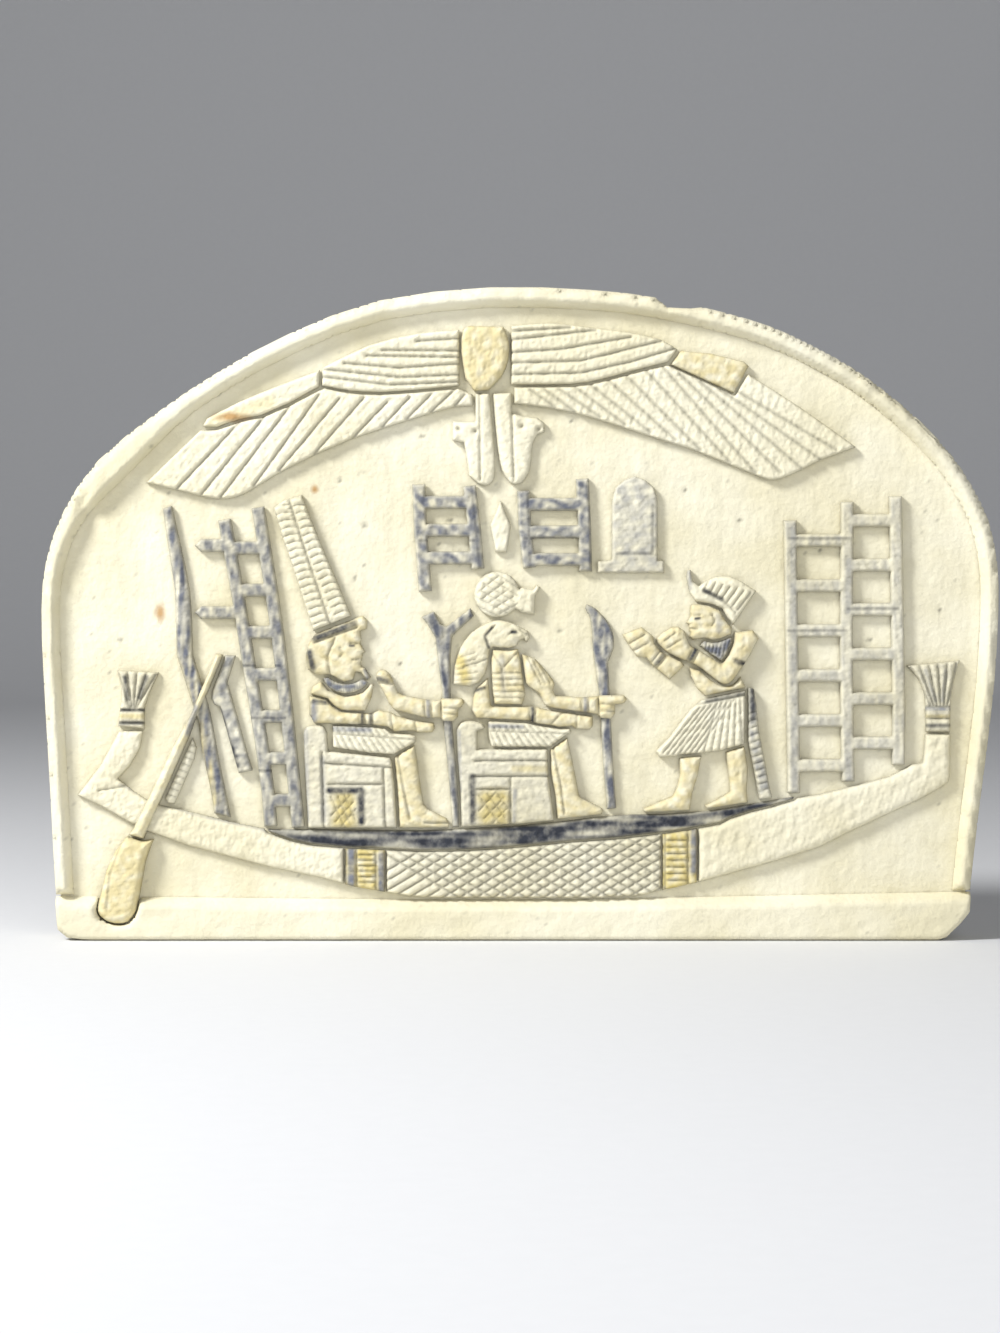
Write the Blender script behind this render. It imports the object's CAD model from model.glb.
"""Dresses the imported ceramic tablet. Each raised piece becomes a softly worn relief with carved
lines and thin brushed tints, on a cast slab with a rim and a base ledge."""

import math

import bmesh
import bpy
import numpy as np
from bpy.props import FloatProperty, FloatVectorProperty, IntProperty, PointerProperty
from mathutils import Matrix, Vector


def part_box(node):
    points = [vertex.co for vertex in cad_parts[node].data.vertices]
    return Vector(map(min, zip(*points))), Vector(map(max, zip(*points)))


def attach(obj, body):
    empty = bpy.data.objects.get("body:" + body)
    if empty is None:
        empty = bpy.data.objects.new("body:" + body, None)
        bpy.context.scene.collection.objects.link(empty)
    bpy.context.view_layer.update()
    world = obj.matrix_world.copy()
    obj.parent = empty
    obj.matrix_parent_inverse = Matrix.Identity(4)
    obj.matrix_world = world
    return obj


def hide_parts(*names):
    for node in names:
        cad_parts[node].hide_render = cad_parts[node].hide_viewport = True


bl_info = {
    "name": "Ceramic tablet",
    "version": (1, 0, 0),
    "blender": (4, 5, 0),
    "location": "View3D > Sidebar > Tablet",
    "description": "Builds the worn relief, the tints and the stage of a ceramic tablet",
    "category": "Object",
}

MM = 0.001
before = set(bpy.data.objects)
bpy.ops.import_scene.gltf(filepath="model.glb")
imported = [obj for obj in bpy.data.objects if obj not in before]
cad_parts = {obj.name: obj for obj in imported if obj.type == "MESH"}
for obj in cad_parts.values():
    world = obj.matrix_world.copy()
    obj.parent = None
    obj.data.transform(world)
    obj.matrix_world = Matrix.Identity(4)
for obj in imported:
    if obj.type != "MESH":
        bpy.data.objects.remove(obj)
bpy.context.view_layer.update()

# Which tint a whole piece is brushed with: grey, dark, yellow and skin, each from 0 to 1
TINTS = {
    "deck": (0.7, 0.85, 0, 0), "staff_middle": (0.75, 0.45, 0, 0), "staff_right": (0.85, 0.3, 0, 0),
    "oar_post": (0.75, 0.25, 0.15, 0), "tiller": (0.5, 0.25, 0, 0), "column_left": (0.6, 0.3, 0, 0),
    "panel_left": (0.7, 0.25, 0, 0), "panel_right": (0.7, 0.25, 0, 0), "plaque": (0.4, 0, 0, 0),
    "plumed_collar": (0.9, 0.1, 0, 0), "standing_collar": (0.9, 0.2, 0, 0),
    "standing_tail": (0.5, 0.05, 0, 0), "bow_flower": (0.2, 0, 0.1, 0),
    "hull_band_bow": (0.05, 0, 0.95, 0), "hull_band_stern": (0.05, 0, 0.9, 0),
    "oar_blade": (0, 0, 0.5, 0.7), "sun_disc": (0, 0, 0.25, 0.85), "wing_arm_right": (0, 0, 0.1, 0.75),
    "stern_flower": (0.25, 0, 0.1, 0), "hull_lattice": (0.1, 0, 0, 0), "oar_shaft": (0, 0, 0.2, 0.35),
    "falcon_throne": (0.25, 0, 0.1, 0), "plumed_throne": (0.2, 0, 0.05, 0),
    "falcon_head": (0.05, 0, 0.15, 0.1), "column_right": (0.3, 0.05, 0, 0),
}
for limb in ("plumed_head", "plumed_torso", "plumed_arm_front", "plumed_arm_rear", "plumed_legs",
             "falcon_torso", "falcon_arm_front", "falcon_arm_rear", "falcon_legs", "standing_head",
             "standing_torso", "standing_arm_near", "standing_arm_far", "standing_leg_front",
             "standing_leg_rear"):
    TINTS[limb] = (0, 0, 0.02, 0.7)
GREY, DARK, YELLOW, SKIN = range(4)

# How a piece's wash streaks along x and z, where it doesn't lie in even patches
STREAKS = {"deck": (0.14, 1.7), "column_left": (1.6, 0.5), "column_right": (1.6, 0.4),
           "staff_middle": (1.6, 0.35), "staff_right": (1.6, 0.35), "oar_post": (1.6, 0.35)}

# Pieces that pass over others, with the depth of the hollow behind them there, mm
OVER = {"oar_shaft": 1.9, "plumed_arm_front": 1.6, "falcon_arm_front": 1.6}

# Pieces rounded like limbs; the others keep a flat front with soft edges
ROUNDED = [n for n in TINTS if TINTS[n][SKIN] > 0.5] + [
    "cobra_left", "cobra_right", "oar_shaft", "oar_post", "steering_rope", "falcon_head",
    "standing_crown", "falcon_sun", "hull_bow", "hull_stern"]


def lines_between(first, last, count):
    """count lines that run evenly from one line to another; a line is two points in mm."""
    steps = np.linspace(0, 1, count)[:, None, None]
    return [line for line in np.array(first) + (np.array(last, float) - first) * steps]


# Depth and width of the carver's lines, mm
FINE = (0.35, 0.25)
HATCH = (0.3, 0.2)
BEAD = (0.35, 0.2)
BARB = (0.35, 0.22)
FIRM = (0.55, 0.3)
LEG = (0.45, 0.3)
FEATHER = (0.5, 0.35)
BAND_EDGE = (0.6, 0.3)
BAND_LINE = (0.45, 0.26)

COVERT_LEFT = [
    [(-11, 120.2), (-20.5, 119.6)], [(-11, 117.7), (-27.5, 117.8)], [(-11, 116.4), (-30.5, 116.7)],
    [(-11, 115.2), (-24, 114.3), (-35, 115.2)], [(-11, 113), (-24, 112.4), (-39, 114)],
    [(-11, 111.6), (-26, 110.9), (-40, 112.6)]]
COVERT_RIGHT = [
    [(-1.5, 121.6), (10, 122.3)], [(-1.5, 119.9), (15, 121.8)], [(-1.5, 117.4), (8, 118), (22, 120.4)],
    [(-1.5, 115.3), (12, 115.7), (28, 119.6)], [(-1.5, 113), (12, 113.3), (22, 115.5), (31, 118.2)]]
FEATHERS_LEFT = [
    [(-54, 105.5), (-68.5, 90.2)], [(-51, 104.5), (-63.5, 89.2)], [(-46, 106.5), (-59.8, 88.5)],
    [(-40, 109), (-53, 91)], [(-36, 108.2), (-48, 94)], [(-31, 108.5), (-41, 97.2)],
    [(-26.5, 107.5), (-33.5, 100.2)], [(-22, 108.5), (-27.5, 102.5)], [(-17.5, 109.3), (-22.5, 104.2)],
    [(-13, 110), (-17.8, 105.5)], [(-11, 109), (-13, 106.8)]]
FEATHERS_RIGHT = [
    [(2, 110), (7, 106.5)], [(5, 110), (11, 105.5)], [(8, 110), (16, 104.5)], [(11, 110.5), (21, 103)],
    [(14, 111), (26, 101.5)], [(17.5, 112), (31, 100)], [(21, 113), (36, 98)], [(25, 114), (42, 95.5)],
    [(28.5, 114.5), (47, 93.5)], [(32, 113), (52, 93.5)], [(36, 111.5), (56, 94.5)],
    [(40, 110), (60, 96)], [(43.5, 109.5), (63, 98)]]
LATTICE = (lines_between([(-40, 6), (-8, 25)], [(24, 6), (56, 25)], 20)
           + lines_between([(-40, 25), (-8, 6)], [(24, 25), (56, 6)], 20))


def barbs(top, foot, side, count):
    """Short slanting strokes to one side of a feather's rib, side being their length and way."""
    rib = lines_between([top, top], [foot, foot], count)
    stroke = np.array((2.6 * side, -0.4 + 0.55 * side))
    return [[start, start + stroke] for start, _ in rib]


# Carved lines of each piece: depth, width, then the lines as x and z in mm
CARVING = {
    "wing_covert_left": [(*FEATHER, COVERT_LEFT)],
    "wing_covert_right": [(*FEATHER, COVERT_RIGHT)],
    "wing_feathers_left": [(*FEATHER, FEATHERS_LEFT)],
    "wing_feathers_right": [(0.42, 0.4, FEATHERS_RIGHT)],
    "hull_lattice": [(0.5, 0.28, LATTICE)],
    "hull_band_bow": [
        (*BAND_EDGE, [[(-32.7, 8), (-32.7, 20)], [(-28.9, 8), (-28.9, 20)]]),
        (*BAND_LINE, lines_between([(-32.5, 17.1), (-29, 17.1)], [(-32.5, 11.6), (-29, 11.6)], 6))],
    "hull_band_stern": [
        (*BAND_EDGE, [[(33.6, 9), (33.6, 24)], [(29, 9), (29, 24)]]),
        (*BAND_LINE, lines_between([(29, 20), (33.4, 20)], [(29, 12), (33.4, 12)], 7))],
    "plumes": [
        (*FIRM, [[(-46.6, 90), (-42.5, 77), (-37.4, 62)]]),
        (*BARB, barbs((-47.9, 87), (-39.4, 64), 0.75, 17)),
        (*BARB, barbs((-47.9, 87), (-39.4, 64), -0.75, 17)),
        (*BARB, barbs((-45, 88.5), (-35.4, 66), 0.7, 17)),
        (*BARB, barbs((-45, 88.5), (-35.4, 66), -0.6, 17))],
    "plumed_head": [
        (0.4, 0.3, [[(-41, 59.6), (-36.5, 61.2), (-32.6, 62.6)],
                    [(-36.9, 60.6), (-38.4, 57), (-38, 53.6)],
                    [(-32.6, 59.4), (-33.8, 59.5)], [(-32.3, 56.3), (-33.4, 56.2)]]),
        (0.3, 0.35, [[(-35.9, 58.5), (-35.4, 57.4), (-35.9, 56.8)]])],
    "plumed_collar": [
        (*BEAD, lines_between([(-39, 53), (-38.4, 49)], [(-31.8, 53), (-31, 49)], 14))],
    "plumed_kilt": [
        (*FINE, lines_between([(-37.6, 42.6), (-35.4, 37.6)], [(-26.6, 42.6), (-22.4, 38)], 10)),
        (*FINE, [[(-37.6, 41.4), (-21, 40.2)]])],
    "falcon_kilt": [
        (*FINE, lines_between([(-6.4, 42.6), (-4.4, 38)], [(4.6, 43), (8.6, 39)], 10)),
        (*FINE, [[(-6.4, 41.9), (9.6, 41.4)]])],
    "standing_kilt": [
        (*FINE, lines_between([(36, 46.8), (28.6, 37.6)], [(43, 48.6), (34.6, 36.8)], 7)),
        (*FINE, lines_between([(39.4, 47.6), (36.6, 37.2)], [(44, 48.6), (44.4, 38.6)], 6)),
        (0.5, 0.3, [[(35.4, 47.3), (46, 49.3)]])],
    "standing_tail": [(*FINE, lines_between([(45, 45), (48.4, 46.5)], [(47, 29.5), (51, 31)], 12))],
    "plumed_throne": [
        (*FIRM, [[(-39.6, 37.6), (-39.2, 22)], [(-39.4, 35.5), (-25.2, 34.6)],
                 [(-27.3, 34.4), (-26.9, 22)], [(-38.2, 31.3), (-27.5, 31.3)]]),
        (*HATCH, lines_between([(-37.8, 28.8), (-35, 22.6)], [(-35, 29), (-32.8, 24)], 3)),
        (*HATCH, lines_between([(-37.8, 25), (-34, 29)], [(-36, 22.6), (-32.8, 26.4)], 3))],
    "falcon_throne": [
        (*FIRM, [[(-9, 36), (6.4, 36)], [(-9, 32.9), (6.2, 32.9)], [(-1.9, 32.6), (-1.9, 22.6)],
                 [(-8.6, 30.3), (-2, 30.3)]]),
        (*HATCH, lines_between([(-8.2, 29), (-4, 23.4)], [(-5, 30), (-2, 26)], 3)),
        (*HATCH, lines_between([(-8.2, 26), (-4.6, 30)], [(-6, 23), (-2, 27)], 3))],
    "falcon_head": [
        (*FINE, [[(-11.2, 54.8), (-8.4, 55.6), (-6.2, 56.6)], [(-6.2, 58.4), (-7, 61), (-5, 63)],
                 [(0.1, 62), (1.4, 61.2)], [(-2.2, 61.3), (-1.2, 62), (-0.4, 61.5)]]),
        (0.25, 0.2, lines_between([(-12.6, 56.4), (-9, 57.6)], [(-13, 52), (-8.4, 52.4)], 5))],
    "falcon_torso": [
        (*FINE, [[(-5.6, 57.4), (-3.4, 54.6), (-0.6, 57.6)], [(-3.6, 54.4), (-3.2, 50.6)]]),
        (*FINE, lines_between([(-5.6, 53.4), (0.4, 53.6)], [(-5.2, 48.6), (0.8, 48.6)], 5))],
    "falcon_arm_front": [
        (*FINE, lines_between([(1.4, 56.8), (4.2, 51.4)], [(3.6, 56), (6, 51.6)], 3)),
        (*FINE, [[(12.2, 45.6), (12.4, 49)], [(13.6, 45.4), (13.8, 49)],
                 [(16, 47.4), (19.6, 47.2)], [(16.2, 46), (19, 45.9)]])],
    "falcon_arm_rear": [
        (*FINE, [[(1.8, 43.8), (2, 46.8)], [(3, 43.6), (3.2, 46.8)], [(5.6, 42.8), (8.4, 45.6)],
                 [(11.2, 42.2), (11.4, 45.4)]])],
    "plumed_arm_front": [
        (*FINE, [[(-19, 44.4), (-19.1, 48.4)], [(-17.6, 44.2), (-17.7, 48.2)],
                 [(-15.2, 46.6), (-12.2, 46.5)], [(-15, 45.4), (-12.6, 45.3)],
                 [(-28.4, 51.6), (-25.6, 51.3)]])],
    "plumed_arm_rear": [
        (*FINE, [[(-32.1, 43), (-32.1, 45.4)], [(-30.9, 43), (-30.9, 45.4)],
                 [(-29.4, 43), (-29.4, 45.6)], [(-25.4, 41.8), (-25.8, 45.4)],
                 [(-20.8, 41.6), (-21, 44)], [(-41.8, 47.4), (-38.4, 47.2)]])],
    "standing_head": [
        (*FINE, [[(34.8, 65), (35.8, 65.1)], [(34.3, 62.4), (35.4, 62.3)],
                 [(38.3, 65.2), (38.9, 64), (38.3, 63)]])],
    "standing_crown": [
        (0.4, 0.25, [[(36.6, 69.9), (40.2, 68.3), (43, 65.6)]]),
        (0.4, 0.25, lines_between([(37.6, 72), (36.8, 70.2)], [(46, 69.6), (43.4, 66.2)], 7))],
    "standing_collar": [
        (*BEAD, lines_between([(36.6, 60), (36.2, 58.4)], [(42, 60.6), (41.2, 56.6)], 8))],
    "standing_arm_near": [
        (*FINE, [[(33.2, 56), (34.8, 59)], [(34.4, 55.6), (36, 58.4)], [(29.4, 58.6), (32, 60.2)],
                 [(28.8, 60), (31, 61.6)], [(42.4, 56.4), (45.6, 55.6)]])],
    "standing_arm_far": [
        (*FINE, [[(27.2, 54.4), (29.6, 57.2)], [(26, 55.4), (28.2, 58.2)], [(22.6, 58), (25.6, 59.6)],
                 [(21.8, 59.4), (24.8, 61.2)]])],
    "plumed_legs": [
        (*LEG, [[(-24.8, 38.6), (-23.4, 31), (-22, 24.4)], [(-19, 23.6), (-14.6, 23.5)]])],
    "falcon_legs": [(*LEG, [[(6.4, 39.4), (8.2, 31), (8.9, 25.4)]])],
    "bow_flower": [
        (*FIRM, [[(-81, 46.1), (-74, 46.1)], [(-81, 43.6), (-74, 43.6)]]),
        (*FIRM, lines_between([(-77.9, 46.6), (-80.4, 54)], [(-76.6, 46.6), (-72.6, 53.6)], 5))],
    "stern_flower": [
        (*FIRM, [[(80, 46.8), (87, 46.8)], [(80, 44.4), (87, 44.4)]]),
        (*FIRM, lines_between([(82, 47.2), (78, 54.8)], [(85.4, 47.2), (87.2, 55.6)], 6))],
    "hull_bow": [(0.4, 0.25, [[(-84.2, 30), (-78, 31)]])],
    "cobra_left": [
        (0.6, 0.45, [[(-12.3, 102.2), (-12.2, 102.1)], [(-9, 101.8), (-8.9, 101.7)]]),
        (0.4, 0.3, [[(-8.1, 109.2), (-8, 104), (-7.9, 92)]])],
    "cobra_right": [
        (0.6, 0.5, [[(0.3, 102.7), (0.4, 102.7)], [(3.7, 102.2), (3.8, 102.2)]]),
        (0.4, 0.3, [[(-1.6, 105.2), (-1.4, 98), (-1.2, 92)]])],
    "falcon_sun": [
        (*HATCH, lines_between([(-9.6, 70.6), (-5, 74.4)], [(-3, 64.4), (0.4, 66)], 7)),
        (*HATCH, lines_between([(-9.6, 67.4), (-3.4, 64.4)], [(-6, 74.2), (0.4, 70)], 6))],
    "steering_rope": [
        (*HATCH, lines_between([(-70.8, 29.4), (-68.6, 28.6)], [(-66.6, 39.6), (-64.4, 38.6)], 9))],
    "oar_blade": [(0.3, 0.35, [[(-79.6, 20), (-82, 13), (-82.6, 6)]])],
}

# Brushed marks of each piece: tint, strength, width in mm, then the lines as x and z in mm
BRUSHED = {
    "plumed_head": [
        (DARK, 0.85, 0.8, [[(-41, 60.4), (-36.6, 62), (-33.2, 63.4)], [(-42, 57.6), (-41.4, 54.6)]]),
        (DARK, 0.9, 0.28, [[(-33.2, 59), (-34, 59)]]),
        (GREY, 0.7, 0.5, [[(-30.9, 54), (-30.4, 52.6)]])],
    "plumed_arm_front": [
        (DARK, 0.85, 0.6, [[(-28.2, 52.4), (-26.6, 51.9)]]),
        (GREY, 0.7, 0.5, [[(-18.3, 44.6), (-18.4, 48.2)]])],
    "plumed_arm_rear": [
        (DARK, 0.9, 0.45, [[(-31.5, 43.2), (-31.5, 45.2)], [(-29.8, 43.2), (-29.8, 45.2)]]),
        (GREY, 0.8, 0.8, [[(-41.4, 44), (-41, 47.4)]]),
        (DARK, 0.8, 0.4, [[(-41.2, 48), (-38.9, 47.7)]])],
    "plumed_kilt": [(GREY, 0.8, 0.6, [[(-37.4, 42.4), (-30, 42.2)]])],
    "plumed_throne": [
        (DARK, 0.95, 0.75, [[(-38, 30.1), (-31.7, 30.1)], [(-31.7, 30.1), (-31.7, 23.8)]]),
        (YELLOW, 1, 1.9, [[(-36, 24), (-34.6, 28.2)], [(-34.4, 24), (-36, 28)]]),
        (GREY, 0.55, 0.7, [[(-42.6, 24), (-42.8, 42)], [(-39.5, 36.6), (-39.2, 24)]])],
    "falcon_throne": [
        (DARK, 0.85, 0.7, [[(-9.5, 32.8), (-9.4, 23.8)]]),
        (YELLOW, 1, 2.2, [[(-6.6, 25), (-4, 28.4)], [(-4, 25), (-6.6, 28.4)]]),
        (GREY, 0.6, 0.6, [[(-1.2, 24), (-1, 30)], [(-12, 30), (-12.2, 42)]]),
        (YELLOW, 0.6, 0.8, [[(-1, 34.4), (5, 34.4)]])],
    "falcon_head": [
        (YELLOW, 0.95, 1.3, [[(-12, 56), (-11, 52.4)]]),
        (DARK, 0.95, 0.35, [[(-1.6, 61.7), (-0.9, 61.7)]]),
        (DARK, 0.8, 0.3, [[(-6.2, 58.6), (-7, 60.8), (-5.6, 62.6)]])],
    "falcon_arm_front": [(GREY, 0.7, 0.5, [[(13, 45.6), (13.1, 48.8)]])],
    "falcon_arm_rear": [
        (DARK, 0.9, 0.45, [[(2.4, 43.9), (2.5, 46.4)]]), (DARK, 0.8, 0.4, [[(-9, 50), (-7.2, 50.6)]])],
    "falcon_kilt": [(GREY, 0.7, 0.5, [[(-6.2, 43), (0.4, 42.8)]])],
    "falcon_torso": [(GREY, 0.35, 0.6, [[(-3.6, 57), (-3.3, 50)]])],
    "standing_head": [
        (DARK, 0.95, 0.3, [[(35, 64.4), (35.8, 64.5)]]), (GREY, 0.4, 0.7, [[(39.6, 64.6), (39.8, 62)]])],
    "standing_crown": [
        (DARK, 0.85, 0.5, [[(36.8, 70), (38.4, 69.2), (40.2, 68.3)]]),
        (GREY, 0.5, 0.5, [[(33.7, 73.6), (34, 70.4)]])],
    "standing_arm_near": [(DARK, 0.9, 0.5, [[(34, 56.4), (35, 58.2)], [(43, 55.9), (44.6, 55.4)]])],
    "standing_arm_far": [(DARK, 0.9, 0.5, [[(27.2, 55.4), (28.6, 57)]])],
    "standing_kilt": [(DARK, 0.8, 0.5, [[(37.4, 47.9), (44.6, 49.5)]])],
    "standing_tail": [(DARK, 0.8, 0.7, [[(46.4, 50), (46.4, 44)]])],
    "bow_flower": [
        (DARK, 0.8, 0.35, [[(-80, 46.1), (-75, 46.1)], [(-80, 43.5), (-75.4, 43.5)]]),
        (DARK, 0.8, 0.5, [[(-74.6, 52.8), (-76, 48.6)], [(-78.9, 52.6), (-78.4, 48.4)]]),
        (YELLOW, 0.7, 0.6, [[(-79.6, 44.9), (-75.6, 44.9)]])],
    "stern_flower": [
        (DARK, 0.7, 0.4, [[(81.4, 43), (86, 43)]]),
        (GREY, 0.8, 0.5, [[(81.4, 46.4), (86, 46.4)]]),
        (YELLOW, 0.6, 0.5, [[(81.4, 44.9), (85.8, 44.9)]]),
        (GREY, 0.5, 0.5, [[(83, 48), (81, 54)], [(84.4, 48), (85, 54)]])],
    "hull_band_bow": [
        (GREY, 0.9, 0.9, [[(-33.8, 11), (-33.8, 18)], [(-27.7, 10), (-27.7, 17)]]),
        (DARK, 0.8, 0.3, [[(-35, 11.5), (-35, 18)]])],
    "hull_band_stern": [(GREY, 0.8, 0.9, [[(34.8, 14), (34.8, 22)]])],
    "oar_post": [
        (YELLOW, 0.8, 1.2, [[(-63.8, 43), (-61, 28)]]), (SKIN, 0.6, 1.2, [[(-68, 55), (-65, 48)]])],
    "oar_shaft": [(GREY, 0.7, 0.9, [[(-66, 41.6), (-65, 46.6)]])],
    "tiller": [(DARK, 0.9, 0.6, [[(-60, 46), (-56.4, 35)]])],
    "hull_bow": [(GREY, 0.35, 0.35, [[(-80, 31.2), (-66, 25.4), (-50, 21.8), (-36, 18.6)]])],
    "wing_arm_left": [(YELLOW, 0.35, 1.4, [[(-61, 103.4), (-50, 107.4)]])],
    "column_left": [
        (DARK, 0.7, 0.4, [[(-57.4, 34), (-47, 34)], [(-57.4, 44.6), (-47, 44.6)], [(-58, 55), (-48, 55)]]),
        (GREY, 0.5, 1.2, [[(-52.3, 86), (-44.6, 23)]])],
    "panel_left": [
        (DARK, 0.6, 0.4, [[(-9.8, 92), (-8, 74)]]), (DARK, 0.55, 0.4, [[(-20, 80), (-9, 80)]])],
    "panel_right": [
        (DARK, 0.6, 0.4, [[(1.4, 90), (2, 74)], [(1, 80.4), (12.6, 80.4)]]),
        (DARK, 0.4, 0.4, [[(13.8, 92), (14, 74)]])],
    "plaque": [(DARK, 0.5, 0.35, [[(19.4, 77.4), (26.4, 77.4), (26.4, 87)]])],
    "column_right": [
        (GREY, 0.55, 0.9, [[(54.4, 83), (54.9, 30)], [(65.6, 76), (65.4, 66)], [(65.5, 42), (65.7, 32)]]),
        (DARK, 0.5, 0.35, [[(53.6, 80.4), (65.6, 80.4)], [(53.6, 62), (65, 62)],
                           [(65.4, 66.4), (75.4, 66.4)]])],
}

# Rust stains: middle x and z, half width and half height, mm
RUST = [(-72, 65.5, 1.3, 2.4), (-57.6, 104.6, 4.6, 1.1), (-41, 90.2, 1, 1), (70, 117, 1, 0.8)]
# How far the stains' middle lies in front of the slab's middle, and how deep they soak in, mm
STAIN_FRONT = 4
STAIN_DEPTH = 6
# Middles of the small dark pits, x and z in mm
PITS = [(-19.5, 100.8), (-36, 92), (-31, 83), (-33, 72.4), (-24, 55.3), (26, 84), (-50, 100), (60, 78),
        (-80, 60), (70, 60), (33, 90), (-62, 92), (84, 66), (-14, 84), (44, 84), (8, 62)]
# Shares of a grid cell within which a point outside or inside the outline moves onto it
SNAP_OUTSIDE = 0.75
SNAP_INSIDE = 0.25
# Least thickness left under a carved line, and on the slab's rim and ledge, mm
THINNEST = 0.25
THINNEST_RIM = 0.1
# The chip in the rim: middle x and z, half width, half height and depth, mm
RIM_CHIP = (-87, 87, 1.6, 2.6, 1.2)
# The ledge's top edge, as x places and the heights there, mm
LEDGE_X = (-95, -22, 10, 95)
LEDGE_TOP = (8.8, 8, 8, 9.8)
# Sockets of a Mix node set to colour: its factor, its two colours, and its output
FACTOR, FIRST, SECOND, MIXED = 0, 6, 7, 2


class TabletSettings(bpy.types.PropertyGroup):
    """Sizes of the relief and of the stage, in millimetres unless a unit is given"""
    cell: FloatProperty(name="Relief grid", description="Grid step of raised pieces, mm", default=0.25)
    slab_cell: FloatProperty(name="Slab grid", description="Grid step of slab and rim, mm", default=0.6)
    edge: FloatProperty(name="Edge wear", description="Width of a worn edge, mm", default=0.7)
    swell: FloatProperty(name="Limb rounding", description="Width over which limbs round off, mm",
                         default=1.5)
    wall: FloatProperty(name="Wall", description="Straight part of a piece's side, share of rise",
                        default=0.45, subtype="FACTOR")
    unevenness: FloatProperty(name="Unevenness", description="Hand-made waviness, mm", default=0.07)
    seed: IntProperty(name="Seed", description="Seed of the waviness", default=7)
    cloud: FloatProperty(name="Clouding", description="Width of the paler clouds, mm", default=50 / 3)
    streak: FloatProperty(name="Wash streaks", description="Width of the streaks in a wash, mm", default=2)
    grain: FloatProperty(name="Grain", description="Width of the cast grain, drawn coarse enough to show, mm",
                         default=10 / 9)
    grain_depth: FloatProperty(name="Grain depth", description="Height of the grain", default=0.3 * MM,
                               unit="LENGTH")
    distance: FloatProperty(name="Camera distance", description="Camera to tablet, m", default=0.62,
                            unit="LENGTH")
    view_height: FloatProperty(name="View height", description="Height that the picture covers, m",
                               default=0.2666, unit="LENGTH")
    view_elevation: FloatProperty(name="View elevation", description="Camera above the front",
                                  default=math.radians(2), subtype="ANGLE")
    key: FloatProperty(name="Key light", description="Power of the soft key, W", default=8)
    fill: FloatProperty(name="Sky light", description="Strength of the pale surround", default=0.2)


def linear(hex_colour):
    """An sRGB hex colour as linear red, green and blue."""
    parts = [int(hex_colour[i:i + 2], 16) / 255 for i in (1, 3, 5)]
    return tuple(c / 12.92 if c <= 0.04045 else ((c + 0.055) / 1.055) ** 2.4 for c in parts)


def colour(name, hex_colour):
    """A colour property that starts at an sRGB hex colour."""
    return FloatVectorProperty(name=name, description=f"Colour of the {name.lower()}", size=3,
                               subtype="COLOR", min=0, max=1, default=linear(hex_colour))


class TabletColours(bpy.types.PropertyGroup):
    """Colours of the ceramic, of its tints and of the stage"""
    cream: colour("Bare ceramic", "#DBD4B6")
    chalk: colour("Worn ceramic", "#E7E2CB")
    grey: colour("Blue-grey wash", "#767A85")
    dark: colour("Blue-black wash", "#252933")
    yellow: colour("Pale ochre", "#D3C27C")
    skin: colour("Skin tint", "#D1C496")
    rust: colour("Rust stain", "#B07F3A")
    grime: colour("Grime in the carving", "#615F54")
    floor: colour("Floor", "#D9DADC")


def outline_of(name, whole=False):
    """The outline of a CAD node where it sits on the field, as segments (x0, z0, x1, z1) in mm.
    With whole, the outline of all that faces back, so also where the node passes over another."""
    facing_back, on_field = 0.7, 0.01
    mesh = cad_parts[name].data
    points = np.array([v.co for v in mesh.vertices]) / MM
    back = points[:, 1].max()
    sides = {}
    seen = {}
    for face in mesh.polygons:
        seated = max(back - points[i][1] for i in face.vertices) < on_field
        if seated or (whole and face.normal.y > facing_back):
            corners = [tuple(np.round(points[i][[0, 2]], 3)) for i in face.vertices]
            for start, end in zip(corners, corners[1:] + corners[:1]):
                key = (start, end) if start < end else (end, start)
                seen[key] = seen.get(key, 0) + 1
                sides[key] = (*start, *end)
    return np.array([sides[key] for key, count in seen.items() if count == 1])


def measure(points, segments):
    """For each point: its distance to the nearest segment, the nearest place there, and whether it
    lies inside the outline that the segments make."""
    distance = np.full(len(points), 1e9)
    nearest = np.zeros_like(points)
    inside = np.zeros(len(points), bool)
    x, z = points[:, 0], points[:, 1]
    for x0, z0, x1, z1 in segments:
        run = np.array((x1 - x0, z1 - z0))
        length = max(run @ run, 1e-12)
        along = np.clip(((x - x0) * run[0] + (z - z0) * run[1]) / length, 0, 1)
        px, pz = x0 + along * run[0], z0 + along * run[1]
        d = np.hypot(x - px, z - pz)
        closer = d < distance
        distance[closer] = d[closer]
        nearest[closer, 0], nearest[closer, 1] = px[closer], pz[closer]
        if z0 != z1:
            crosses = (z0 > z) != (z1 > z)
            inside ^= crosses & (x < x0 + (z - z0) * (x1 - x0) / (z1 - z0))
    return distance, nearest, inside


def waves(x, z, scale, seed, count=18):
    """Smooth random waviness between about -1 and 1, with features about scale mm wide."""
    rng = np.random.default_rng(seed)
    total = np.zeros(len(x))
    for _ in range(count):
        turn, phase = rng.uniform(0, 2 * np.pi, 2)
        pitch = 2 * np.pi / (scale * rng.uniform(0.7, 1.8))
        total += np.sin((x * np.cos(turn) + z * np.sin(turn)) * pitch + phase)
    return total / math.sqrt(count)


def line_distance(x, z, lines):
    """Each point's distance to the nearest of some lines, mm."""
    distance = np.full(len(x), 1e9)
    points = np.stack((x, z), 1)
    for line in lines:
        segments = [(*a, *b) for a, b in zip(line, line[1:])]
        distance = np.minimum(distance, measure(points, segments)[0])
    return distance


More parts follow.
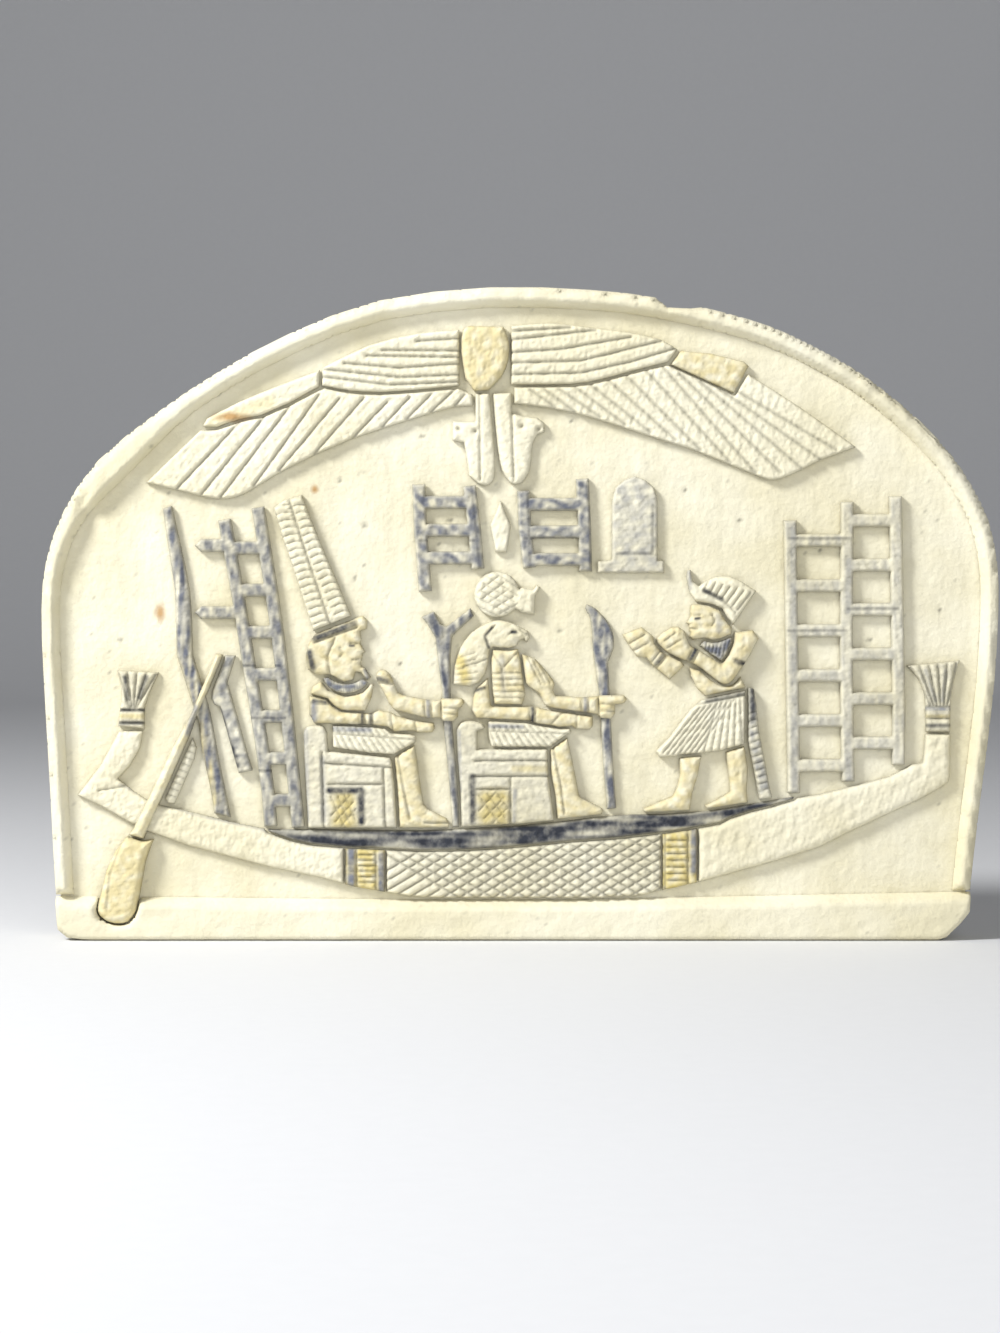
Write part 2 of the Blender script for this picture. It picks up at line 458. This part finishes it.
def round_over(distance, width):
    """0 at an edge, 1 beyond width, rounding over like a quarter circle."""
    return np.sqrt(1 - (1 - np.clip(distance / width, 0, 1)) ** 2)


def grid_in(segments, cell):
    """A flat grid cut to an outline, its border moved onto the outline. Returns it as a bmesh."""
    low = segments.reshape(-1, 2).min(0) - cell
    high = segments.reshape(-1, 2).max(0) + cell
    counts = np.ceil((high - low) / cell).astype(int)
    bm = bmesh.new()
    bmesh.ops.create_grid(bm, x_segments=int(counts[0]), y_segments=int(counts[1]), size=0.5)
    flat = np.array([v.co[:2] for v in bm.verts])
    points = low + (flat - flat.min(0)) / np.ptp(flat, 0) * (high - low)
    distance, nearest, inside = measure(points, segments)
    near = np.where(inside, distance < cell * SNAP_INSIDE, distance < cell * SNAP_OUTSIDE)
    points[near] = nearest[near]
    keep = inside | near
    for vert, (x, z) in zip(bm.verts, points):
        vert.co = (x, 0, z)
    gone = [face for face in bm.faces if not all(keep[v.index] for v in face.verts)]
    bmesh.ops.delete(bm, geom=gone, context="FACES")
    loose = [v for v in bm.verts if not v.link_faces]
    bmesh.ops.delete(bm, geom=loose, context="VERTS")
    bmesh.ops.dissolve_degenerate(bm, edges=bm.edges, dist=cell * 0.02)
    return bm


def thicken(bm, front, back):
    """Turns a flat grid in mm into a closed solid in metres. front and back are the depths of its
    two faces, for each of the grid's points or for all."""
    pairs = zip(bm.verts, np.broadcast_to(front, len(bm.verts)), np.broadcast_to(back, len(bm.verts)))
    depths = {tuple(v.co): pair for v, *pair in pairs}
    grown = bmesh.ops.extrude_face_region(bm, geom=bm.faces[:], use_keep_orig=True)["geom"]
    in_front = {item for item in grown if isinstance(item, bmesh.types.BMVert)}
    for vert in bm.verts:
        vert.co.y = depths[tuple(vert.co)][0 if vert in in_front else 1]
    bmesh.ops.recalc_face_normals(bm, faces=bm.faces)
    bmesh.ops.scale(bm, vec=(MM, MM, MM), verts=bm.verts)


def brushed_tints(name, x, z, distance):
    """The four tints of a piece's points, from its whole wash, rubbed thin within rubbed mm of an
    edge, and from its brushed marks."""
    patch, rubbed = 2.2, 0.6
    tint = np.zeros((len(x), 4))
    tint[:] = TINTS.get(name, (0, 0, 0, 0))
    along, across = STREAKS.get(name, (1, 1))
    patchy = 0.85 + 0.4 * waves(x * along, z * across, patch, len(name))
    tint *= np.clip(patchy, 0.2, 1.2)[:, None]
    tint[:, [GREY, DARK]] *= (0.5 + 0.6 * np.clip(distance / rubbed, 0, 1))[:, None]
    for channel, strength, width, lines in BRUSHED.get(name, ()):
        soft = np.clip(1.4 - line_distance(x, z, lines) / width, 0, 1)
        tint[:, channel] = np.maximum(tint[:, channel], soft * strength)
    return np.clip(tint, 0, 1)


def carved_grime(name, x, z, distance):
    """The grime of a piece's points, at its foot within foot mm and in its carved lines."""
    foot, most = 0.35, 0.8
    grime = 0.55 * np.clip(1 - distance / foot, 0, 1)
    for depth, breadth, lines in CARVING.get(name, ()):
        near = np.exp(-(line_distance(x, z, lines) / (breadth * 0.8)) ** 2)
        grime = np.maximum(grime, near * min(depth * 1.6, most))
    return grime


def slab_paint(x, z):
    """The tints and grime of the bare slab: faint warm clouds, specks and dark pits."""
    clouds, specks, pit = 30, 1.1, 0.5
    tint = np.zeros((len(x), 4))
    tint[:, SKIN] = 0.12 * np.clip(waves(x, z, clouds, 3), 0, 1)
    grime = np.clip(waves(x, z, specks, 11) - 1.7, 0, 1)
    for pit_x, pit_z in PITS:
        grime = np.maximum(grime, np.clip(1.3 - np.hypot(x - pit_x, z - pit_z) / pit, 0, 1))
    return tint, grime


def finish_piece(bm, name, paint):
    """Makes the piece that stands for a CAD node, with its paint, which is given x and z in mm."""
    mesh = bpy.data.meshes.new(name + "_relief")
    bm.to_mesh(mesh)
    bm.free()
    points = np.array([v.co for v in mesh.vertices]) / MM
    tint, grime = paint(points[:, 0], points[:, 2])
    mesh.attributes.new("grime", "FLOAT", "POINT")
    mesh.attributes.new("paint", "FLOAT_COLOR", "POINT")
    mesh.attributes["grime"].data.foreach_set("value", grime.astype(np.float32))
    mesh.attributes["paint"].data.foreach_set("color", tint.astype(np.float32).ravel())
    mesh.shade_smooth()
    mesh.materials.append(bpy.data.materials.get("matte_tinted_ceramic") or tinted_ceramic())
    obj = bpy.data.objects.new(name + "_relief", mesh)
    bpy.context.scene.collection.objects.link(obj)
    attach(obj, "root")
    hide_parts(name)


def relief(name):
    """One raised piece: worn edges, carved lines and tints inside its CAD outline."""
    settings = bpy.context.scene.tablet_settings
    low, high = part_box(name)
    rise = (high.y - low.y) / MM
    back = high.y / MM
    segments = outline_of(name, name in OVER)
    bm = grid_in(segments, settings.cell)
    points = np.array([(v.co.x, v.co.z) for v in bm.verts])
    x, z = points[:, 0], points[:, 1]
    behind = np.full(len(x), back)
    if name in OVER:
        beside = 0.02
        seated, _, on_field = measure(points, outline_of(name))
        behind[~on_field & (seated > beside)] = back - OVER[name]
    distance = measure(points, segments)[0]
    width = settings.swell if name in ROUNDED else settings.edge
    height = rise * (settings.wall + (1 - settings.wall) * round_over(distance, width))
    carved = np.zeros(len(x))
    for depth, breadth, lines in CARVING.get(name, ()):
        carved = np.maximum(carved, depth * np.exp(-(line_distance(x, z, lines) / breadth) ** 2))
    wide, narrow = 2.2, 0.9
    rough = 1.6 + waves(x, z, wide, settings.seed + len(name)) + 0.7 * waves(x, z, narrow, len(name))
    height -= carved + settings.unevenness * rough
    height = np.clip(height, back - behind + THINNEST, rise)
    thicken(bm, back - height, behind)

    def paint(x, z):
        distance = measure(np.stack((x, z), 1), segments)[0]
        return brushed_tints(name, x, z, distance), carved_grime(name, x, z, distance)

    finish_piece(bm, name, paint)


def slab_piece(name, shape):
    """The slab, rim or ledge: its own front surface, given by shape, over a flat back."""
    settings = bpy.context.scene.tablet_settings
    low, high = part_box(name)
    back = high.y / MM
    segments = outline_of(name)
    bm = grid_in(segments, settings.slab_cell)
    points = np.array([(v.co.x, v.co.z) for v in bm.verts])
    distance = measure(points, segments)[0]
    thicken(bm, back - shape(points, distance, (high.y - low.y) / MM), back)
    finish_piece(bm, name, slab_paint)


def slab_shape(points, distance, rise):
    """The field's height above the back: slow and fine waves, and the pits."""
    settings = bpy.context.scene.tablet_settings
    pit_depth, pit_width = 0.3, 0.45
    slow, fine = (waves(points[:, 0], points[:, 1], scale, settings.seed) for scale in (9, 2.6))
    wave = 0.05 + settings.unevenness * (1.8 + slow + 0.6 * fine)
    for x, z in PITS:
        wave += pit_depth * np.exp(-(np.hypot(points[:, 0] - x, points[:, 1] - z) / pit_width) ** 2)
    return rise - wave


def rim_shape(points, distance, rise):
    """The rim's height above the field: a sloped inner wall, a worn outer edge and a chip."""
    settings = bpy.context.scene.tablet_settings
    inner_wall, worn_edge, beside = 1.25, 0.9, 0.05
    outer = measure(points, outline_of("slab"))[0]
    worn = 0.6 + 0.4 * round_over(outer, worn_edge)
    top = np.where(distance < outer - beside, np.clip(distance / inner_wall, 0, 1), worn)
    wave = settings.unevenness * (1 + waves(points[:, 0], points[:, 1], 4, settings.seed + 1))
    chip_x, chip_z, wide, high, deep = RIM_CHIP
    chip = deep * np.exp(-((points[:, 0] - chip_x) / wide) ** 2 - ((points[:, 1] - chip_z) / high) ** 2)
    return np.clip(rise * top - wave - chip, THINNEST_RIM, rise)


def ledge_shape(points, distance, rise):
    """The base ledge's height above the field: it slopes up from its top edge, and its rim is worn."""
    settings = bpy.context.scene.tablet_settings
    slope, worn_edge = 1.7, 0.8
    below = np.interp(points[:, 0], LEDGE_X, LEDGE_TOP) - points[:, 1]
    worn = 0.6 + 0.4 * round_over(distance, worn_edge)
    wave = settings.unevenness * (1 + waves(points[:, 0], points[:, 1], 4, settings.seed + 2))
    return np.clip(rise * np.minimum(np.clip(below / slope, 0, 1), worn) - wave, THINNEST_RIM, rise)


def node(tree, kind, at, settings, links):
    """Adds a shader node at a place. A setting is one of the node's own, or a socket's value, and
    a link runs from an output to a socket. A socket is given by its name or number."""
    item = tree.nodes.new(kind)
    item.location = at
    for key, value in settings.items():
        if isinstance(key, str) and hasattr(item, key):
            setattr(item, key, value)
        else:
            item.inputs[key].default_value = value
    for key, source in links.items():
        tree.links.new(source, item.inputs[key])
    return item


def tinted_ceramic():
    """Cast ceramic, unglazed and hand-tinted: dry and chalky to the eye, with clouded cream tones,
    thin streaky washes, grime in the carving, a few rust stains and a fine grain."""
    settings = bpy.context.scene.tablet_settings
    colours = bpy.context.scene.tablet_colours
    material = bpy.data.materials.new("matte_tinted_ceramic")
    material.use_nodes = True
    tree = material.node_tree
    tree.nodes.clear()
    place = node(tree, "ShaderNodeTexCoord", (-1600, 0), {}, {}).outputs["Object"]
    cloud = node(tree, "ShaderNodeTexNoise", (-1400, 200),
                 {"Scale": 1000 / settings.cloud, "Detail": 5}, {"Vector": place})
    streaks = node(tree, "ShaderNodeTexNoise", (-1400, -50),
                   {"Scale": 1000 / settings.streak, "Detail": 4}, {"Vector": place})
    grain = node(tree, "ShaderNodeTexNoise", (-1400, -300),
                 {"Scale": 1000 / settings.grain, "Detail": 8}, {"Vector": place})
    paint = node(tree, "ShaderNodeAttribute", (-1400, 500), {"attribute_name": "paint"}, {})
    soot = node(tree, "ShaderNodeAttribute", (-1400, 700), {"attribute_name": "grime"}, {})
    split = node(tree, "ShaderNodeSeparateColor", (-1200, 500), {}, {"Color": paint.outputs["Color"]})
    mottle = node(tree, "ShaderNodeMapRange", (-1200, 200), {"From Min": 0.35, "From Max": 0.65},
                  {"Value": cloud.outputs["Fac"]})
    thin = node(tree, "ShaderNodeMapRange", (-1200, -50),
                {"From Min": 0.3, "From Max": 0.6, "To Min": 0.65, "To Max": 1.1},
                {"Value": streaks.outputs["Fac"]})
    coat = node(tree, "ShaderNodeMix", (-1000, 300),
                {"data_type": "RGBA", FIRST: (*colours.cream, 1), SECOND: (*colours.chalk, 1)},
                {FACTOR: mottle.outputs["Result"]})
    washes = ((split.outputs["Blue"], colours.yellow), (paint.outputs["Alpha"], colours.skin),
              (split.outputs["Red"], colours.grey), (split.outputs["Green"], colours.dark))
    for i, (amount, tone) in enumerate(washes):
        worn = node(tree, "ShaderNodeMath", (-900 + 200 * i, 600),
                    {"operation": "MULTIPLY", "use_clamp": True}, {0: amount, 1: thin.outputs["Result"]})
        coat = node(tree, "ShaderNodeMix", (-800 + 200 * i, 300), {"data_type": "RGBA", SECOND: (*tone, 1)},
                    {FACTOR: worn.outputs[0], FIRST: coat.outputs[MIXED]})
    dirty = node(tree, "ShaderNodeMath", (0, 700),
                 {"operation": "MULTIPLY", "use_clamp": True, 1: 0.75}, {0: soot.outputs["Fac"]})
    coat = node(tree, "ShaderNodeMix", (100, 300), {"data_type": "RGBA", SECOND: (*colours.grime, 1)},
                {FACTOR: dirty.outputs[0], FIRST: coat.outputs[MIXED]})
    for spot in RUST:
        coat = node(tree, "ShaderNodeMix", (300, 300), {"data_type": "RGBA", SECOND: (*colours.rust, 1)},
                    {FACTOR: stain(tree, place, streaks, *spot), FIRST: coat.outputs[MIXED]})
    bump = node(tree, "ShaderNodeBump", (500, -300), {"Strength": 0.7, "Distance": settings.grain_depth},
                {"Height": grain.outputs["Fac"]})
    shader = node(tree, "ShaderNodeBsdfPrincipled", (700, 200), {"Roughness": 0.82},
                  {"Base Color": coat.outputs[MIXED], "Normal": bump.outputs["Normal"]})
    node(tree, "ShaderNodeOutputMaterial", (950, 200), {}, {"Surface": shader.outputs["BSDF"]})
    return material


def stain(tree, place, streaks, x, z, wide, high):
    """How strong a rust stain is at each place, for its middle and half size in mm. The streaks
    make its edge ragged, and it soaks in from the front only."""
    spot = node(tree, "ShaderNodeMapping", (-600, -500),
                {"Location": (-x / wide, STAIN_FRONT / STAIN_DEPTH, -z / high),
                 "Scale": (1000 / wide, 1000 / STAIN_DEPTH, 1000 / high)}, {"Vector": place})
    far = node(tree, "ShaderNodeVectorMath", (-400, -500), {"operation": "LENGTH"},
               {0: spot.outputs["Vector"]})
    ragged = node(tree, "ShaderNodeMath", (-250, -500), {"operation": "ADD"},
                  {0: far.outputs["Value"], 1: streaks.outputs["Fac"]})
    fade = node(tree, "ShaderNodeMapRange", (-100, -500),
                {"From Min": 0.75, "From Max": 1.6, "To Min": 0.8, "To Max": 0},
                {"Value": ragged.outputs[0]})
    return fade.outputs["Result"]


class ReliefStep:
    """Builds the relief of each node that a step names"""
    names = ()

    def execute(self, context):
        for name in self.names:
            relief(name)
        return {"FINISHED"}


class BuildSlab(bpy.types.Operator):
    """Builds the slab, the rim and the base ledge"""
    bl_idname = "tablet.slab"
    bl_label = "Slab, rim and ledge"

    def execute(self, context):
        for name, shape in (("slab", slab_shape), ("rim", rim_shape), ("base_ledge", ledge_shape)):
            slab_piece(name, shape)
        return {"FINISHED"}


class BuildBoat(ReliefStep, bpy.types.Operator):
    """Builds the hull, the deck, the flowers and the steering gear"""
    bl_idname = "tablet.boat"
    bl_label = "Boat"
    names = ("hull_bow", "hull_band_bow", "hull_lattice", "hull_band_stern", "hull_stern", "deck",
             "bow_flower", "stern_flower", "oar_blade", "oar_post", "steering_rope", "tiller")


class BuildWings(ReliefStep, bpy.types.Operator):
    """Builds the winged disc and the two cobras"""
    bl_idname = "tablet.wings"
    bl_label = "Winged disc"
    names = ("sun_disc", "wing_covert_left", "wing_arm_left", "wing_feathers_left", "wing_covert_right",
             "wing_arm_right", "wing_feathers_right", "cobra_left", "cobra_right")


class BuildSeated(ReliefStep, bpy.types.Operator):
    """Builds the two seated figures and their staffs"""
    bl_idname = "tablet.seated"
    bl_label = "Seated figures"
    names = ("plumes", "plumed_head", "plumed_collar", "plumed_torso", "plumed_arm_rear", "plumed_kilt",
             "plumed_legs", "plumed_throne", "staff_middle", "falcon_sun", "falcon_head", "falcon_torso",
             "falcon_arm_rear", "falcon_kilt", "falcon_legs", "falcon_throne", "staff_right")


class BuildStanding(ReliefStep, bpy.types.Operator):
    """Builds the standing figure"""
    bl_idname = "tablet.standing"
    bl_label = "Standing figure"
    names = ("standing_crown", "standing_head", "standing_collar", "standing_torso", "standing_arm_near",
             "standing_arm_far", "standing_kilt", "standing_tail", "standing_leg_front",
             "standing_leg_rear")


class BuildUprights(ReliefStep, bpy.types.Operator):
    """Builds the ladder columns, the top panels and the plaque"""
    bl_idname = "tablet.uprights"
    bl_label = "Columns and panels"
    names = ("column_left", "column_right", "panel_left", "panel_right", "panel_post", "plaque")


class BuildCrossings(ReliefStep, bpy.types.Operator):
    """Builds the oar shaft and the arms that pass over a staff, hollowed behind where they cross"""
    bl_idname = "tablet.crossings"
    bl_label = "Oar shaft and arms over staffs"
    names = tuple(OVER)


class BuildStage(bpy.types.Operator):
    """Adds the floor, the lights and the camera"""
    bl_idname = "tablet.stage"
    bl_label = "Stage"

    def execute(self, context):
        settings = context.scene.tablet_settings
        floor_and_backdrop()
        lights(settings)
        camera(settings)
        context.scene.view_settings.view_transform = "Standard"
        return {"FINISHED"}


def pale_card():
    """Coated card, pressed smooth: pale, matte and almost even, with a faint fibre."""
    fibre_width, shade = 10 / 3, 0.97
    tone = bpy.context.scene.tablet_colours.floor
    material = bpy.data.materials.new("pale_card")
    material.use_nodes = True
    tree = material.node_tree
    shader = tree.nodes["Principled BSDF"]
    shader.inputs["Roughness"].default_value = 0.9
    place = node(tree, "ShaderNodeTexCoord", (-700, 0), {}, {}).outputs["Object"]
    fibre = node(tree, "ShaderNodeTexNoise", (-500, 0), {"Scale": 1000 / fibre_width}, {"Vector": place})
    mixed = node(tree, "ShaderNodeMix", (-250, 0),
                 {"data_type": "RGBA", FIRST: (*tone, 1), SECOND: (*(c * shade for c in tone), 1)},
                 {FACTOR: fibre.outputs["Fac"]})
    tree.links.new(mixed.outputs[MIXED], shader.inputs["Base Color"])
    return material


def floor_and_backdrop():
    """One sheet of card that sweeps up behind the tablet, in metres."""
    reach, wall, sweep = 1.5, 1.6, 0.5
    bm = bmesh.new()
    bmesh.ops.create_grid(bm, x_segments=1, y_segments=1, size=reach)
    far = [edge for edge in bm.edges if all(v.co.y > 0 for v in edge.verts)]
    grown = bmesh.ops.extrude_edge_only(bm, edges=far)["geom"]
    top = [item for item in grown if isinstance(item, bmesh.types.BMVert)]
    bmesh.ops.translate(bm, vec=(0, 0, wall), verts=top)
    bmesh.ops.bevel(bm, geom=far, offset=sweep, segments=16, profile=0.5, affect="EDGES", material=-1)
    bmesh.ops.recalc_face_normals(bm, faces=bm.faces)
    mesh = bpy.data.meshes.new("floor")
    bm.to_mesh(mesh)
    bm.free()
    mesh.shade_smooth()
    mesh.materials.append(pale_card())
    floor = bpy.data.objects.new("floor", mesh)
    bpy.context.scene.collection.objects.link(floor)


def aim(obj, target):
    """Turns a lamp or the camera to look at a place."""
    obj.rotation_euler = (Vector(target) - obj.location).to_track_quat("-Z", "Y").to_euler()


def lights(settings):
    """A soft key from the upper left, a broad weak front light and the pale surround."""
    centre = (0, 0, 0.065)
    front_share = 0.4
    for name, place, size, power in (("key", (-0.5, -0.33, 0.56), 0.2, settings.key),
                                     ("front", (0.3, -0.9, 0.3), 0.8, settings.key * front_share)):
        light = bpy.data.lights.new(name, "AREA")
        light.shape = "DISK"
        light.size = size
        light.energy = power
        obj = bpy.data.objects.new(name, light)
        obj.location = place
        aim(obj, centre)
        bpy.context.scene.collection.objects.link(obj)
    world = bpy.data.worlds.new("pale_surround")
    world.use_nodes = True
    background = world.node_tree.nodes["Background"]
    background.inputs["Color"].default_value = (0.96, 0.97, 1, 1)
    background.inputs["Strength"].default_value = settings.fill
    bpy.context.scene.world = world


def camera(settings):
    """The camera at the photograph's viewing angle, with its height filled as the photograph's is."""
    target = Vector((-0.004, -0.004, 0.0548))
    data = bpy.data.cameras.new("camera")
    data.sensor_fit = "VERTICAL"
    data.sensor_height = 36
    data.lens = data.sensor_height * settings.distance / settings.view_height
    obj = bpy.data.objects.new("camera", data)
    tilt = settings.view_elevation
    obj.location = target + Vector((0, -math.cos(tilt), math.sin(tilt))) * settings.distance
    aim(obj, target)
    bpy.context.scene.collection.objects.link(obj)
    bpy.context.scene.camera = obj


class TabletPanel(bpy.types.Panel):
    """Sizes, colours and build steps of the tablet"""
    bl_idname = "VIEW3D_PT_tablet"
    bl_label = "Ceramic tablet"
    bl_space_type = "VIEW_3D"
    bl_region_type = "UI"
    bl_category = "Tablet"

    def draw(self, context):
        for group in (context.scene.tablet_settings, context.scene.tablet_colours):
            for name in group.__annotations__:
                self.layout.prop(group, name)
        for step in STEPS:
            self.layout.operator(step.bl_idname)


STEPS = (BuildSlab, BuildBoat, BuildWings, BuildSeated, BuildStanding, BuildUprights, BuildCrossings,
         BuildStage)
CLASSES = (TabletSettings, TabletColours, *STEPS, TabletPanel)


def register():
    for item in CLASSES:
        bpy.utils.register_class(item)
    bpy.types.Scene.tablet_settings = PointerProperty(type=TabletSettings)
    bpy.types.Scene.tablet_colours = PointerProperty(type=TabletColours)


def unregister():
    del bpy.types.Scene.tablet_colours
    del bpy.types.Scene.tablet_settings
    for item in reversed(CLASSES):
        bpy.utils.unregister_class(item)


def main():
    register()
    for step in STEPS:
        group, name = step.bl_idname.split(".")
        getattr(getattr(bpy.ops, group), name)()


if __name__ == "__main__":
    main()
